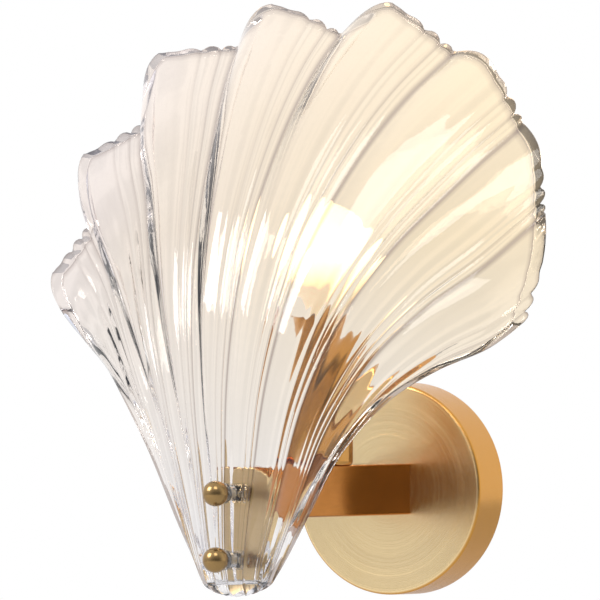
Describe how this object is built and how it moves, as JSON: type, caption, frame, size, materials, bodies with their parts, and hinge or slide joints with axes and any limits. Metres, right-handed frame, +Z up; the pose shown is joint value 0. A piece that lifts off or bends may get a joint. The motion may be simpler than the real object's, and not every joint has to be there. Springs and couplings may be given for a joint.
{
  "type": "wall sconce",
  "caption": "Pleated clear glass shell in front of an upright bulb, on a square brass arm with a round wall cover.",
  "frame": {"origin": "centre of the wall-screw pattern, on the wall", "axes": "+Y into the wall, -Y into the room, +Z up, +X to the right as seen from behind the lamp's front"},
  "size_m": [0.2711, 0.1855, 0.2825],
  "materials": {
    "satin_brass": "satin, turned lines",
    "polished_brass": "polished",
    "aged_brass": "satin, aged",
    "plain_brass": "machined",
    "zinc_steel": "zinc plated",
    "clear_glass": "pressed, fire polished",
    "clear_plastic": "clear",
    "white_moulding": "satin moulding",
    "dark_moulding": "satin moulding",
    "bulb_plastic": "gloss",
    "bulb_opal": "opal, lit",
    "contact_metal": "plain",
    "cap_metal": "plain",
    "board": "matt, with light sources"
  },
  "bodies": {
    "sconce": {"mounting_bar": "zinc_steel", "cover_grub_screws": "plain_brass", "earth_washer": "plain_brass", "earth_screw": "plain_brass", "terminal_block": "white_moulding", "terminal_clamp_screws": "plain_brass", "terminal_block_screw": "zinc_steel", "wall_cover": "satin_brass", "arm_nipple": "zinc_steel", "arm_washer": "zinc_steel", "arm_nut": "plain_brass", "arm": "polished_brass", "arm_rear_block": "plain_brass", "arm_front_block": "plain_brass", "glass_bracket": "satin_brass", "holder_nipple": "zinc_steel", "holder_washer": "zinc_steel", "holder_nut": "plain_brass", "holder_cup": "polished_brass", "holder_base": "dark_moulding", "holder_sleeve": "dark_moulding", "screw_shell": "contact_metal", "middle_contact": "contact_metal", "glass_shell": "clear_glass", "glass_studs": "plain_brass", "stud_nuts": "aged_brass", "glass_spacers": "clear_plastic", "hole_sleeves": "clear_plastic"},
    "bulb_tip": {"bulb_contact": "cap_metal"},
    "bulb": {"bulb_insulator": "dark_moulding", "bulb_cap": "cap_metal", "bulb_collar": "bulb_plastic", "led_board": "board", "bulb_globe": "bulb_opal"},
    "upper_washer": {"upper_front_washer": "clear_plastic"},
    "upper_knob": {"upper_ball_knob": "aged_brass"},
    "lower_washer": {"lower_front_washer": "clear_plastic"},
    "lower_knob": {"lower_ball_knob": "aged_brass"}
  },
  "joints": [
    {"name": "bulb_rise", "type": "slide", "parent": "sconce", "child": "bulb_tip", "axis": [0, 0, 1], "range_m": [0, 0.01127]},
    {"name": "bulb_turn", "type": "hinge", "parent": "bulb_tip", "child": "bulb", "pos_m": [0, -0.082, 0.06], "axis": [0, 0, 1], "range_deg": [0, 1440]},
    {"name": "upper_knob_travel", "type": "slide", "parent": "sconce", "child": "upper_washer", "axis": [0, -1, 0], "range_m": [0, 0.005]},
    {"name": "upper_knob_turn", "type": "hinge", "parent": "upper_washer", "child": "upper_knob", "pos_m": [0, -0.178, 0], "axis": [0, -1, 0], "range_deg": [0, 2520]},
    {"name": "lower_knob_travel", "type": "slide", "parent": "sconce", "child": "lower_washer", "axis": [0, -1, 0], "range_m": [0, 0.005]},
    {"name": "lower_knob_turn", "type": "hinge", "parent": "lower_washer", "child": "lower_knob", "pos_m": [0, -0.178, -0.031], "axis": [0, -1, 0], "range_deg": [0, 2520]}
  ],
  "couplings": [
    {"joint": "bulb_turn", "follows": "bulb_rise", "rad_per_m": 2228.1},
    {"joint": "upper_knob_travel", "follows": "upper_knob_turn", "m_per_rad": 0.00011141},
    {"joint": "lower_knob_travel", "follows": "lower_knob_turn", "m_per_rad": 0.00011141}
  ]
}
